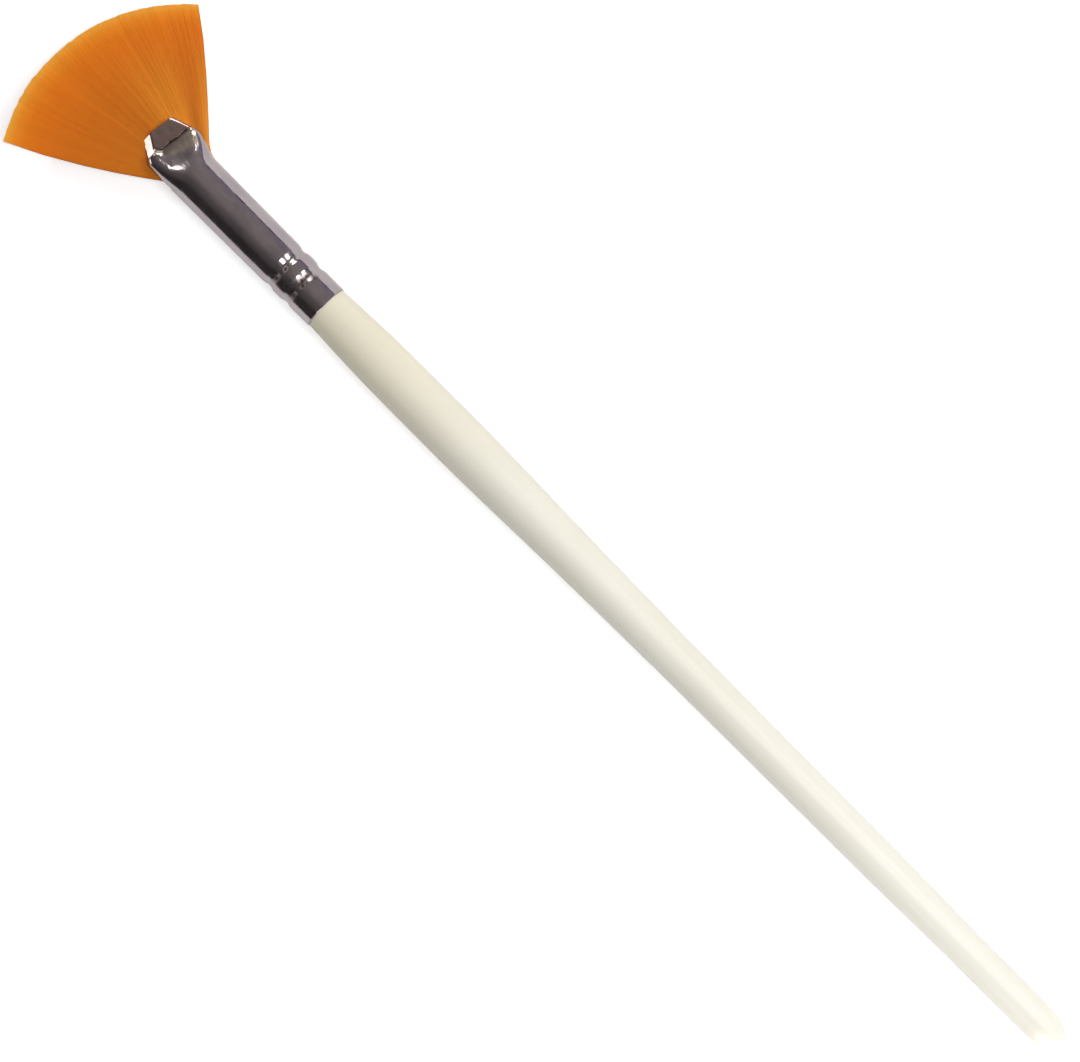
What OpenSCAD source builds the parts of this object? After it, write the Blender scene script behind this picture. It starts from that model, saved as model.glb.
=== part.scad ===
// Fan make-up brush: a flat fan of soft bristles in a crimped metal ferrule on a long turned handle.
// It lies along X on its belly and one corner of the fan, as a brush comes to rest on a table.
// The bristles point towards -X, the tail towards +X, and +Z is up.
// Positions along the brush are measured from the joint of handle and ferrule: x behind it, q ahead of it.

/* [Handle] */
// Length of the handle behind the ferrule
handle_len = 161.5; // [145:0.5:180]
// Diameter of the shoulder that meets the ferrule
shoulder_d = 7.5; // [7.3:0.1:7.7]
// Diameter of the belly, the thickest part of the handle
belly_d = 8.6; // [8.4:0.1:9.2]
// Diameter of the slim part behind the belly
waist_d = 6.76; // [6.4:0.02:7.2]
// Diameter of the straight tail
tail_d = 5.9; // [5.4:0.1:6.2]
// Length of the straight tail
tail_len = 15; // [10:1:20]
// Length of the rounded butt
butt_len = 5.5; // [4:0.5:7]

/* [Ferrule] */
// Diameter over the rear band
band_d = 7.75; // [7.6:0.05:7.9]
// Diameter of the barrel where the crimp begins
barrel_d = 8.2; // [8:0.05:8.4]
// Thickness of the metal
wall = 0.35; // [0.3:0.05:0.45]
// Depth of the two rolled grooves
groove_depth = 0.24; // [0.15:0.01:0.3]
// Width across the flared mouth
mouth_w = 9.46; // [9:0.02:9.8]
// Height over the two lips
mouth_h = 4.6; // [4.4:0.1:5]
// Width of the straight front edge of a lip
lip_w = 5.1; // [4.8:0.1:5.6]
// Angle by which the mouth is turned to one side
mouth_turn = 6.8; // [0:0.2:8]
// Distance by which the mouth stands to one side
mouth_shift = 0.72; // [0:0.02:0.8]

/* [Fan] */
// Radius of the arc along the trimmed tips
tip_r = 28; // [26:0.5:31]
// Half of the angle between the two edges of the fan
spread = 35.6; // [30:0.2:38]
// Angle by which the fan is turned to one side
fan_turn = 5.7; // [0:0.1:7]
// Distance by which the trimming arc stands to the other side
trim_shift = 2.65; // [0:0.05:3]
// Thickness of the fan at the tips
tip_h = 0.7; // [0.5:0.05:1]
// Number of locks that the bristles gather in
locks = 44; // [36:2:48]

/* [Hidden] */
$fn = 96;

// Gap left between the ferrule and what sits inside it
seat_gap = 0.05;

// Handle: where each diameter stands along it
front_x = 13;
front_drop = 0.14;
belly_x = 28;
slope_x = 56;
slope_d = 7.46;
waist_x = 84;
rear_x = 122;
rear_d = 6.4;
tail_end = handle_len - butt_len;
handle_keys = [
    [0, shoulder_d / 2],
    [front_x, (belly_d - front_drop) / 2],
    [belly_x, belly_d / 2],
    [slope_x, slope_d / 2],
    [waist_x, waist_d / 2],
    [rear_x, rear_d / 2],
    [tail_end - tail_len, tail_d / 2],
    [tail_end, tail_d / 2]
];
handle_step = 2;
butt_steps = 8;
tenon_len = 13.5;
tenon_chamfer = 0.5;
// The handle's turn about its own axis, which sets the facet that its collision shape lies on
handle_turn = -2.5;

// Ferrule: the round stretch, its grooves and the bead between them
round_len = 24.5;
groove_1 = 5;
groove_2 = 8.7;
groove_half = 1.15;
bead_rise = 0.06;
fine_step = 0.23;
fine_end = 11;
coarse_step = 3;

// Ferrule: the crimp, from where it starts to the front edge of the lips
crimp_q = 28;
flare_q = 33.9;
crease_q = 35;
front_q = 37.7;
ramp_ratio = 0.342;
crimp_ratio = 0.74;
bevel_w = 0.8;
bevel_angle = 35;
fade_ratio = 0.8;
slit_q = 29.9;
slit_half = 1.15;
corner_power = 14;
seam_inset = 0.03;
seam_len = 0.5;
crease_step = 0.3;
quarter_steps = 10;
ring_n = 4 * quarter_steps + 4;

// Resin: its place ahead of the tenon, and its skirt around the roots
resin_q = tenon_len + 1.3;
resin_len = 4.2;
skirt_len = 3;
resin_dip = 0.7;
resin_gap = 0.03;
dish_steps = 3;

// Bristles: where they sit inside the ferrule, and how the fan runs
root_q = resin_q + resin_len;
root_r = 3.24;
full_len = 4;
full_q = root_q + full_len;
full_r = 3.58;
squeeze_q = 26.5;
squeeze_w = 1.6;
slit_gap = 0.2;
room_share = 0.94;
swell_ratio = 0.3;
exit_q = 30;
exit_dq = 0.1;
exit_y = 0.12;
exit_half = 3.72;
bow_ratio = 0.0728;
trim_q = 29.5;
near_share = 0.36;
edge_h = 0.4;
edge_ratio = 0.3;
taper_share = 0.4;
pack_h = 3.02;
fan_w = 8.6;
widen_ratio = 1.16;
rib = 0.045;
rib_share = 0.3;
jag = 0.5;
between_share = 0.3;
jag_share = 0.6;

// Returns 0 to 1 smoothly as t goes from 0 to 1
function ease(t) =
    let (u = min(max(t, 0), 1))
    u * u * (3 - 2 * u);

// A rounded bump of height 1 that is 0 beyond t = 1 on both sides
function bump(t) = abs(t) >= 1 ? 0 : (1 + cos(180 * t)) / 2;

// The first n of n + 1 even steps between two values
function steps(from, to, n) = [for (k = [0:n - 1]) from + (to - from) * k / n];

// The least of a list, with its corners rounded
function soft_least(v) =
    let (terms = [for (x = v) pow(x, -corner_power)])
    pow(terms * [for (x = v) 1], -1 / corner_power);

// A curve through keys of [x, y] that never swings past them
function rise(keys, i) = (keys[i + 1].y - keys[i].y) / (keys[i + 1].x - keys[i].x);
function slope(keys, i) =
    i == 0 ? rise(keys, 0)
    : i == len(keys) - 1 ? rise(keys, i - 1)
    : let (a = rise(keys, i - 1), b = rise(keys, i))
      a * b <= 0 ? 0 : 2 * a * b / (a + b);
function curve(keys, x) =
    let (
        i = max([for (k = [0:len(keys) - 2]) keys[k].x <= x ? k : 0]),
        span = keys[i + 1].x - keys[i].x,
        t = (x - keys[i].x) / span,
        s = ease(t)
    )
    keys[i].y * (1 - s) + keys[i + 1].y * s
        + span * t * (1 - t) * ((1 - t) * slope(keys, i) - t * slope(keys, i + 1));

// Outer radius of the ferrule's round stretch
function barrel_r(q) =
    (band_d + (barrel_d - band_d) * min(q / crimp_q, 1)) / 2
    - groove_depth * bump((q - groove_1) / groove_half)
    - groove_depth * bump((q - groove_2) / groove_half)
    + bead_rise * bump(2 * (q - (groove_1 + groove_2) / 2) / (groove_2 - groove_1));

// Positions from the handle end of the ferrule forwards, close together at the grooves
function barrel_stations(last) = concat(
    [for (q = [0:fine_step:min(fine_end, last - fine_step)]) q],
    [for (q = [fine_end + coarse_step / 2:coarse_step:last - coarse_step / 2]) q],
    [last]
);

// The crimped section at q: half the width and height of its curve, the height of its flat top,
// the distance of its bevels, and from these the radius at angle a under t of metal
function flare(q) = ease((q - crimp_q) / (flare_q - crimp_q));
function half_w(q) =
    barrel_r(q) + (mouth_w - barrel_d) / 2 * flare(q)
    - max(q - flare_q, 0) * (mouth_w - lip_w) / 2 / (front_q - flare_q);
function half_h(q) = barrel_r(q) * (1 - (1 - crimp_ratio) * ease((q - crimp_q) / (crease_q - crimp_q)));
function top_h(q) = mouth_h / 2 + max(crease_q - q, 0) * ramp_ratio;
function bevel_d(q) =
    (half_w(q) - bevel_w) * sin(bevel_angle) + top_h(q) * cos(bevel_angle)
    + max(flare_q - q, 0) * fade_ratio;
function ring_r(q, a, t) =
    let (c = max(abs(cos(a)), 0.000001), s = max(abs(sin(a)), 0.000001))
    soft_least([
        1 / sqrt(pow(c / (half_w(q) - t), 2) + pow(s / (half_h(q) - t), 2)),
        (top_h(q) - t) / s,
        (bevel_d(q) - t) / (c * sin(bevel_angle) + s * cos(bevel_angle))
    ]);

// The mouth's turn and shift, and a point of the crimp in the brush's own place
function turn(q) = mouth_turn * flare(q);
function shift(q) = mouth_shift * flare(q);
function place(q, l, z) = [-q + l * sin(turn(q)), shift(q) + l * cos(turn(q)), z];

// Angles around a ring, with one column on each edge of the two side slits
function ring_angles(q) =
    let (
        low = atan(slit_half / half_w(q)),
        up = [for (k = [0:quarter_steps]) low + (90 - low) * k / quarter_steps],
        back = [for (k = [quarter_steps - 1:-1:0]) 180 - up[k]]
    )
    concat([0], up, back, [180], [for (a = up) 180 + a], [for (a = back) 180 + a]);

// Handle

module handle() {
    xs = [for (x = [0:handle_step:tail_end - tail_len - handle_step / 2]) x];
    body = [for (x = concat(xs, [tail_end - tail_len, tail_end])) [curve(handle_keys, x), x]];
    butt = [
        for (k = [1:butt_steps])
            let (a = 90 * k / butt_steps)
            [tail_d / 2 * cos(a), tail_end + butt_len * sin(a)]
    ];
    inner = wall + seat_gap;
    tenon = [for (q = barrel_stations(tenon_len - tenon_chamfer)) [barrel_r(q) - inner, -q]];
    nose = [
        [0, -tenon_len],
        [barrel_r(tenon_len) - inner - tenon_chamfer, -tenon_len]
    ];
    color("ivory")
        rotate([handle_turn, 0, 0])
            rotate([0, 90, 0])
                rotate_extrude()
                    polygon(concat(nose, [for (i = [len(tenon) - 1:-1:0]) tenon[i]], body, butt));
}

// Ferrule

module barrel() {
    stations = barrel_stations(round_len);
    outer = [for (q = stations) [barrel_r(q), -q]];
    bore = [for (i = [len(stations) - 1:-1:0]) [barrel_r(stations[i]) - wall, -stations[i]]];
    rotate([0, 90, 0])
        rotate_extrude()
            polygon(concat(outer, bore));
}

// The crimp is a skin of cells with an outer and an inner face: those in the side slits are left out.
module crimp() {
    start = round_len - seam_len;
    stations = concat(
        [start],
        steps(round_len + seam_len, slit_q, 6),
        steps(slit_q, flare_q - crease_step, 5),
        [flare_q - crease_step, flare_q + crease_step],
        [crease_q - crease_step, crease_q + crease_step],
        steps(crease_q + crease_step, front_q, 3),
        [front_q]
    );
    rows = len(stations);
    slit_row = search(slit_q, stations)[0];
    points = [
        for (side = [0, 1], i = [0:rows - 1])
            let (
                q = stations[i],
                inset = i == 0 ? seam_inset : 0,
                t = side == 0 ? inset : wall - inset
            )
            for (a = ring_angles(q))
                let (r = ring_r(q, a, t))
                place(q, r * cos(a), r * sin(a))
    ];
    sides = [0, ring_n - 1, ring_n / 2 - 1, ring_n / 2];
    function on(i, j) =
        i >= 0 && i < rows - 1 && !(i >= slit_row && len(search(j, sides)) > 0);
    function o(i, j) = i * ring_n + (j + ring_n) % ring_n;
    function n(i, j) = rows * ring_n + o(i, j);
    function quad(a, b, c, d) = [[a, b, c], [a, c, d]];
    faces = [
        for (i = [0:rows - 2], j = [0:ring_n - 1])
            if (on(i, j))
                let (
                    before = (j + ring_n - 1) % ring_n,
                    after = (j + 1) % ring_n
                )
                for (
                    f = concat(
                        quad(o(i, j), o(i, j + 1), o(i + 1, j + 1), o(i + 1, j)),
                        quad(n(i, j), n(i + 1, j), n(i + 1, j + 1), n(i, j + 1)),
                        on(i - 1, j) ? [] : quad(o(i, j), n(i, j), n(i, j + 1), o(i, j + 1)),
                        on(i + 1, j) ? []
                        : quad(o(i + 1, j), o(i + 1, j + 1), n(i + 1, j + 1), n(i + 1, j)),
                        on(i, before) ? [] : quad(o(i, j), o(i + 1, j), n(i + 1, j), n(i, j)),
                        on(i, after) ? []
                        : quad(o(i, j + 1), n(i, j + 1), n(i + 1, j + 1), o(i + 1, j + 1))
                    )
                )
                    f
    ];
    polyhedron(points, faces);
}

module ferrule() {
    color("silver")
        union() {
            barrel();
            crimp();
        }
}

// Bristle fan: s runs from -1 to 1 across the bristles, and each one runs from its root
// through the mouth to its tip

// Room for bristles at q, a distance l from the mouth's centre line. Between the lips it falls
// to the slit's height at both sides, and it grows again with the distance from the lips.
function room(q, l) =
    let (
        t = wall + seat_gap,
        at = min(q, front_q),
        w = half_w(at) - t,
        u = min(abs(l) / w, 1),
        free = room_share * min(
            (half_h(at) - t) * sqrt(1 - u * u),
            top_h(at) - t,
            (bevel_d(at) - t - abs(l) * sin(bevel_angle)) / cos(bevel_angle)
        ),
        slit = slit_half - slit_gap,
        out = max(q - front_q, abs(l) - w - 2 * wall, 0)
    )
    q < slit_q ? free
    : slit + max(free - slit, 0) * ease((w - slit_gap - abs(l)) / squeeze_w) + swell_ratio * out;

function fan_angle(s) = fan_turn + spread * s;
function exit_point(s) = [exit_q + exit_dq * s, exit_y + exit_half * s];

// Distance along a bristle from the mouth to the trimming arc
function reach(s) =
    let (
        d = [cos(fan_angle(s)), sin(fan_angle(s))],
        m = exit_point(s) - [trim_q, -trim_shift],
        b = m * d
    )
    -b + sqrt(b * b - m * m + tip_r * tip_r);

// Inside the ferrule: a bristle's place at q
function root_y(q, s) =
    let (
        r = root_r + (full_r - root_r) * min((q - root_q) / full_len, 1),
        e = exit_point(s)
    )
    r * sin(90 * s) + (e.y - full_r * sin(90 * s)) * ease((q - squeeze_q) / (e.x - squeeze_q));
function root_z(q, s) =
    let (r = root_r + (full_r - root_r) * min((q - root_q) / full_len, 1))
    max(r * cos(90 * s), edge_h / 2);

// Ahead of the mouth: a bristle's place at v along its way, bowed a little outwards
function fan_xy(s, v, far) =
    let (a = fan_angle(s))
    exit_point(s) + v * [cos(a), sin(a)] + s * bow_ratio / tip_r * v * (far - v) * [-sin(a), cos(a)];
function fan_z(s, v, far) =
    let (
        body = pack_h * fan_w / (fan_w + widen_ratio * v),
        thin = tip_h / 2 * (fan_w + widen_ratio * far) / (pack_h * fan_w),
        taper = 1 - (1 - thin) * ease((v / far - taper_share) / (1 - taper_share)),
        lens = sqrt(max(cos(90 * s), 0))
    )
    edge_h / 2 * (1 - edge_ratio * v / far) + (body * taper - edge_h / 2) * lens;

module bristle_fan() {
    cols = 2 * locks + 1;
    roots = concat(
        steps(root_q, full_q, 2),
        steps(full_q, squeeze_q, 2),
        steps(squeeze_q, exit_q, 5)
    );
    ways = concat(steps(0, near_share, 9), steps(near_share, 1, 6), [1]);
    rows = len(roots) + len(ways);
    uneven = rands(0, jag, cols, 7);
    points = [
        for (side = [1, -1], i = [0:rows - 1], k = [0:cols - 1])
            let (
                s = 2 * k / (cols - 1) - 1,
                inside = i < len(roots),
                q = inside ? roots[i] : 0,
                way = inside ? 0 : ways[i - len(roots)],
                edge = k == 0 || k == cols - 1,
                short = edge ? 0 : uneven[k] * (k % 2 == 0 ? 1 : between_share),
                full = reach(s),
                far = full - short * ease((way - jag_share) / (1 - jag_share)),
                v = way * far,
                p = inside ? [q, root_y(q, s)] : fan_xy(s, v, full),
                l = (p.y - shift(p.x)) / cos(turn(p.x)),
                top = room(p.x + l * sin(turn(p.x)), l),
                ridge = rib * (k % 2 == 0 ? 1 : -1) * ease(way / rib_share),
                z = inside ? root_z(q, s) : fan_z(s, v, full)
            )
            [-p.x, p.y, side * (max(min(z, top), edge_h / 3) + ridge)]
    ];
    function top(i, k) = i * cols + k;
    function low(i, k) = (rows + i) * cols + k;
    function quad(a, b, c, d) = [[a, b, c], [a, c, d]];
    skins = [
        for (i = [0:rows - 2], k = [0:cols - 2])
            for (
                f = concat(
                    quad(top(i, k), top(i, k + 1), top(i + 1, k + 1), top(i + 1, k)),
                    quad(low(i, k), low(i + 1, k), low(i + 1, k + 1), low(i, k + 1))
                )
            )
                f
    ];
    edges = [
        for (i = [0:rows - 2])
            for (
                f = concat(
                    quad(top(i, 0), top(i + 1, 0), low(i + 1, 0), low(i, 0)),
                    quad(top(i, cols - 1), low(i, cols - 1), low(i + 1, cols - 1), top(i + 1, cols - 1))
                )
            )
                f
    ];
    ends = [
        for (k = [0:cols - 2])
            for (
                f = concat(
                    quad(top(0, k), low(0, k), low(0, k + 1), top(0, k + 1)),
                    quad(top(rows - 1, k), top(rows - 1, k + 1), low(rows - 1, k + 1), low(rows - 1, k))
                )
            )
                f
    ];
    color("darkorange")
        polyhedron(points, concat(skins, edges, ends));
}

// Resin that holds the roots: a plug with a dished back and a thin skirt around the roots

module root_resin() {
    outer = wall + resin_gap;
    back_r = barrel_r(resin_q) - outer;
    dish = [
        for (u = concat(steps(0, 1, dish_steps), [1]))
            [back_r * u, -resin_q - resin_dip * (1 - u * u)]
    ];
    fit_r = root_r + resin_gap;
    skirt_q = root_q + skirt_len;
    skirt_r = fit_r + (full_r - root_r) * skirt_len / full_len;
    color("khaki")
        rotate([0, 90, 0])
            rotate_extrude()
                polygon(concat(dish, [
                    [barrel_r(skirt_q) - outer, -skirt_q],
                    [skirt_r, -skirt_q],
                    [fit_r, -root_q],
                    [0, -root_q]
                ]));
}

// Rest: the brush rolls on its belly until the farther corner of the fan touches Z = 0

tip_steps = [for (k = [0:2 * locks]) k / locks - 1];
tips = [for (s = tip_steps) fan_xy(s, reach(s), reach(s))];
tip_z = fan_z(1, reach(1), reach(1)) + rib;
head_len = max([for (p = tips) p.x]);
side_hi = max([for (p = tips) p.y]);
side_lo = min([for (p = tips) p.y]);
roll = asin(belly_d / 2 / norm([side_hi, tip_z])) - atan(tip_z / side_hi);

// Place: the middle of the bounding box is at 0 in X and Y
home = [(head_len - handle_len) / 2, -(side_hi + side_lo) / 2 * cos(roll), belly_d / 2];

module rest() {
    translate(home)
        rotate([-roll, 0, 0])
            children();
}

rest() handle();
rest() ferrule();
rest() bristle_fan();
rest() root_resin();
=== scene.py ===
"""Fan make-up brush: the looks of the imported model, in the frame of its CAD nodes."""
import math

import bpy
import numpy as np
from mathutils import Matrix, Vector


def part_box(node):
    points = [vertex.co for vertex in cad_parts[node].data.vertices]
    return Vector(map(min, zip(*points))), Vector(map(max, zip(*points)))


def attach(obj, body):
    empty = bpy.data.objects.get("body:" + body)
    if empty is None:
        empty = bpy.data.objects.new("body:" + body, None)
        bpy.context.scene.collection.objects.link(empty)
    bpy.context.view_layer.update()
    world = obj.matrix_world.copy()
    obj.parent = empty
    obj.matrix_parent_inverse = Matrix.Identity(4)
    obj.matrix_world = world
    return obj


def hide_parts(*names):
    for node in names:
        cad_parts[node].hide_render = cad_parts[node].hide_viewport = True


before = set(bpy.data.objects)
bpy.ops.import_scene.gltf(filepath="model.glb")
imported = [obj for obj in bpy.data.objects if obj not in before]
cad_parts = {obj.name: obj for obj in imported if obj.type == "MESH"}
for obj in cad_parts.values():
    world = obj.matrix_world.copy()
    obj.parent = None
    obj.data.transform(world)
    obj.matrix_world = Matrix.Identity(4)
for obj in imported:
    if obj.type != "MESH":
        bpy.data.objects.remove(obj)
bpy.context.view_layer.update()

MM = 0.001

# The same named values as in part.scad: millimetres, degrees, and shares and ratios of them. A q is a
# distance from the joint of handle and ferrule towards the bristles' tips, an x one towards the handle's butt
HANDLE_LEN, SHOULDER_D, BELLY_D, WAIST_D, TAIL_D, TAIL_LEN, BUTT_LEN = 161.5, 7.5, 8.6, 6.76, 5.9, 15, 5.5
BAND_D, BARREL_D, WALL, GROOVE_DEPTH = 7.75, 8.2, 0.35, 0.24
MOUTH_W, MOUTH_H, MOUTH_TURN, MOUTH_SHIFT = 9.46, 4.6, 6.8, 0.72
TIP_R, SPREAD, FAN_TURN, TRIM_SHIFT, TIP_H, LOCKS = 28, 35.6, 5.7, 2.65, 0.7, 44
SEAT_GAP, TENON_LEN = 0.05, 13.5
GROOVE_1, GROOVE_2, GROOVE_HALF, BEAD_RISE = 5, 8.7, 1.15, 0.06
CRIMP_Q, FLARE_Q, CREASE_Q, FRONT_Q = 28, 33.9, 35, 37.7
CRIMP_RATIO, FADE_RATIO = 0.74, 0.8
SLIT_Q, SLIT_HALF, CORNER_POWER = 29.9, 1.15, 14
ROOT_Q, ROOT_R, FULL_Q, FULL_R = 19, 3.24, 23, 3.58
SQUEEZE_Q, SQUEEZE_W, SLIT_GAP, ROOM_SHARE, SWELL_RATIO = 26.5, 1.6, 0.2, 0.94, 0.3
EXIT_Q, EXIT_DQ, EXIT_Y, EXIT_HALF, BOW_RATIO, TRIM_Q = 30, 0.1, 0.12, 3.72, 0.0728, 29.5
EDGE_H, EDGE_RATIO, TAPER_SHARE = 0.4, 0.3, 0.4
PACK_H, FAN_W, WIDEN_RATIO, RIB = 3.02, 8.6, 1.16, 0.045
FRONT_X, FRONT_DROP, BELLY_X, SLOPE_X, SLOPE_D = 13, 0.14, 28, 56, 7.46
WAIST_X, REAR_X, REAR_D = 84, 122, 6.4
TAIL_END = HANDLE_LEN - BUTT_LEN
HANDLE_KEYS = (
    (0, SHOULDER_D / 2),
    (FRONT_X, (BELLY_D - FRONT_DROP) / 2),
    (BELLY_X, BELLY_D / 2),
    (SLOPE_X, SLOPE_D / 2),
    (WAIST_X, WAIST_D / 2),
    (REAR_X, REAR_D / 2),
    (TAIL_END - TAIL_LEN, TAIL_D / 2),
    (TAIL_END, TAIL_D / 2),
)

# Finer than part.scad: the lips are squarer and a little wider at the front edge
FRONT_W, FRONT_SHIFT, SQUARE_POWER = 6.1, 0.3, 5

# Their edges are sharp and the ridges behind them round
EDGE_POWER, SOFT_POWER, RIDGE_Q = 60, 8, 32

# The crease lies further back, and its -Y end curls forward
CREASE_BACK, CURL, CURL_L, CURL_W = 0.35, 1.1, -1.4, 1.5

# The slope behind it is steeper and leans to the +Y side
RAMP_RISE, RAMP_TILT = 0.54, 0.05

# The -Y bevels are wide and steep, the +Y ones narrow and shallow: widths at the crease and at the front edge
LOW_BEVELS, HIGH_BEVELS = (1.6, 1.75), (0.45, 0.75)
LOW_ANGLE, HIGH_ANGLE = math.radians(35), math.radians(26)
LOW_FADE_Q, LOW_FADE_RATIO = 34.95, 2.5

# Where the joint of handle and ferrule lies on the brush's axis
handle_low, handle_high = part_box("handle")
HOME = Vector((
    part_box("ferrule")[1][0],
    (handle_low[1] + handle_high[1]) / 2,
    (handle_low[2] + handle_high[2]) / 2,
))


# Shapes shared with part.scad: l is a place across the brush, a is an angle around it and t a depth under
# its skin

TINY, RING_ROUNDS = 1e-6, 4


def ease(t):
    """A soft step from 0 to 1."""
    t = np.clip(t, 0, 1)
    return t * t * (3 - 2 * t)


def bump(t):
    """A soft hump around 0 that ends at -1 and 1."""
    return np.where(np.abs(t) >= 1, 0, (1 + np.cos(np.pi * t)) / 2)


def soft_least(power, *values):
    """The least of the values, rounded where two are alike."""
    return sum(v ** -power for v in values) ** (-1 / power)


def curve(keys, x):
    """A curve through the keys that never swings past them."""
    kx, ky = np.array(keys, float).T
    rise = np.diff(ky) / np.diff(kx)
    slope = np.zeros(len(kx))
    slope[0], slope[-1] = rise[0], rise[-1]
    for i in range(1, len(kx) - 1):
        a, b = rise[i - 1], rise[i]
        slope[i] = 0 if a * b <= 0 else 2 * a * b / (a + b)
    i = np.clip(np.searchsorted(kx, x, side="right") - 1, 0, len(kx) - 2)
    span = kx[i + 1] - kx[i]
    t = (x - kx[i]) / span
    s = t * t * (3 - 2 * t)
    return ky[i] * (1 - s) + ky[i + 1] * s + span * t * (1 - t) * ((1 - t) * slope[i] - t * slope[i + 1])


def barrel_r(q):
    mid = (GROOVE_1 + GROOVE_2) / 2
    return (
        (BAND_D + (BARREL_D - BAND_D) * np.minimum(q / CRIMP_Q, 1)) / 2
        - GROOVE_DEPTH * bump((q - GROOVE_1) / GROOVE_HALF)
        - GROOVE_DEPTH * bump((q - GROOVE_2) / GROOVE_HALF)
        + BEAD_RISE * bump(2 * (q - mid) / (GROOVE_2 - GROOVE_1))
    )


def flare(q):
    return ease((q - CRIMP_Q) / (FLARE_Q - CRIMP_Q))


def half_w(q):
    narrow = np.maximum(q - FLARE_Q, 0) * (MOUTH_W - FRONT_W) / 2 / (FRONT_Q - FLARE_Q)
    return barrel_r(q) + (MOUTH_W - BARREL_D) / 2 * flare(q) - narrow


def half_h(q):
    return barrel_r(q) * (1 - (1 - CRIMP_RATIO) * ease((q - CRIMP_Q) / (CREASE_Q - CRIMP_Q)))


def crease(l):
    return CREASE_Q - CREASE_BACK + CURL * ease((CURL_L - l) / CURL_W)


def top_h(q, l):
    return MOUTH_H / 2 + np.maximum(crease(l) - q, 0) * (RAMP_RISE - RAMP_TILT * l)


def bevel_w(q, l):
    t = np.clip((q - CREASE_Q) / (FRONT_Q - CREASE_Q), 0, 1)
    low, high = ((rear + (front - rear) * t) for rear, front in (LOW_BEVELS, HIGH_BEVELS))
    return np.where(l < 0, low, high)


def bevel_angle(l):
    return np.where(l < 0, LOW_ANGLE, HIGH_ANGLE)


def bevel_d(q, l):
    return (
        (half_w(q) - bevel_w(q, l)) * np.sin(bevel_angle(l)) + MOUTH_H / 2 * np.cos(bevel_angle(l))
        + np.maximum(CREASE_Q - q, 0) * RAMP_RISE * np.cos(bevel_angle(l))
        + np.where(
            l < 0,
            np.maximum(LOW_FADE_Q - q, 0) * LOW_FADE_RATIO,
            np.maximum(FLARE_Q - q, 0) * FADE_RATIO,
        )
    )


def squareness(q):
    return 2 + (SQUARE_POWER - 2) * flare(q)


def ring_r(q, a, t):
    """The ferrule's radius: l depends on it, so it is found in a few rounds."""
    c = np.maximum(np.abs(np.cos(a)), TINY)
    s = np.maximum(np.abs(np.sin(a)), TINY)
    p = squareness(q)
    corner = (
        CORNER_POWER + (SOFT_POWER - CORNER_POWER) * bump((q - RIDGE_Q) / (CREASE_Q - RIDGE_Q))
        + (EDGE_POWER - CORNER_POWER) * ease((q - FLARE_Q) / (CREASE_Q - FLARE_Q))
    )
    whole = ((c / (half_w(q) - t)) ** p + (s / (half_h(q) - t)) ** p) ** (-1 / p)
    r = whole
    for _ in range(RING_ROUNDS):
        l = r * np.cos(a)
        r = soft_least(
            corner,
            whole,
            (top_h(q, l) - t) / s,
            (bevel_d(q, l) - t) / (c * np.sin(bevel_angle(l)) + s * np.cos(bevel_angle(l))),
        )
    return r


def mouth_turn(q):
    return math.radians(MOUTH_TURN) * flare(q)


def mouth_shift(q):
    return MOUTH_SHIFT * flare(q) + FRONT_SHIFT * ease((q - FLARE_Q) / (FRONT_Q - FLARE_Q))


def room(q, l):
    """Half the height that the bristles have at a place in the ferrule, its slits and ahead of it."""
    t = WALL + SEAT_GAP
    at = np.minimum(q, FRONT_Q)
    w = half_w(at) - t
    u = np.minimum(np.abs(l) / w, 1)
    free = ROOM_SHARE * np.minimum(
        (half_h(at) - t) * np.sqrt(1 - u * u),
        np.minimum(
            top_h(at, l) - t,
            (bevel_d(at, l) - t - np.abs(l) * np.sin(bevel_angle(l))) / np.cos(bevel_angle(l)),
        ),
    )
    slit = SLIT_HALF - SLIT_GAP
    out = np.maximum(np.maximum(q - FRONT_Q, np.abs(l) - w - 2 * WALL), 0)
    opened = ease((w - SLIT_GAP - np.abs(l)) / SQUEEZE_W)
    lips = slit + np.maximum(free - slit, 0) * opened + SWELL_RATIO * out
    return np.where(q < SLIT_Q, free, lips)


# Across the fan s runs from -1 to 1, and v is the way from a bristle's exit towards its tip


def fan_angle(s):
    return np.radians(FAN_TURN + SPREAD * s)


def exit_point(s):
    return EXIT_Q + EXIT_DQ * s, EXIT_Y + EXIT_HALF * s


def reach(s):
    """The way from a bristle's exit to the arc that the fan is trimmed to."""
    a = fan_angle(s)
    eq, ey = exit_point(s)
    mq, my = eq - TRIM_Q, ey + TRIM_SHIFT
    b = mq * np.cos(a) + my * np.sin(a)
    return -b + np.sqrt(b * b - mq * mq - my * my + TIP_R * TIP_R)


def root_r(q):
    return ROOT_R + (FULL_R - ROOT_R) * np.clip((q - ROOT_Q) / (FULL_Q - ROOT_Q), 0, 1)


def fan_z(s, v, far):
    """Half the fan's thickness."""
    body = PACK_H * FAN_W / (FAN_W + WIDEN_RATIO * v)
    thin = TIP_H / 2 * (FAN_W + WIDEN_RATIO * far) / (PACK_H * FAN_W)
    taper = 1 - (1 - thin) * ease((v / far - TAPER_SHARE) / (1 - TAPER_SHARE))
    lens = np.sqrt(np.maximum(np.cos(np.pi / 2 * s), 0))
    return EDGE_H / 2 * (1 - EDGE_RATIO * v / far) + (body * taper - EDGE_H / 2) * lens


# The brush lies rolled about its axis, on its belly and one corner of the fan

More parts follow.
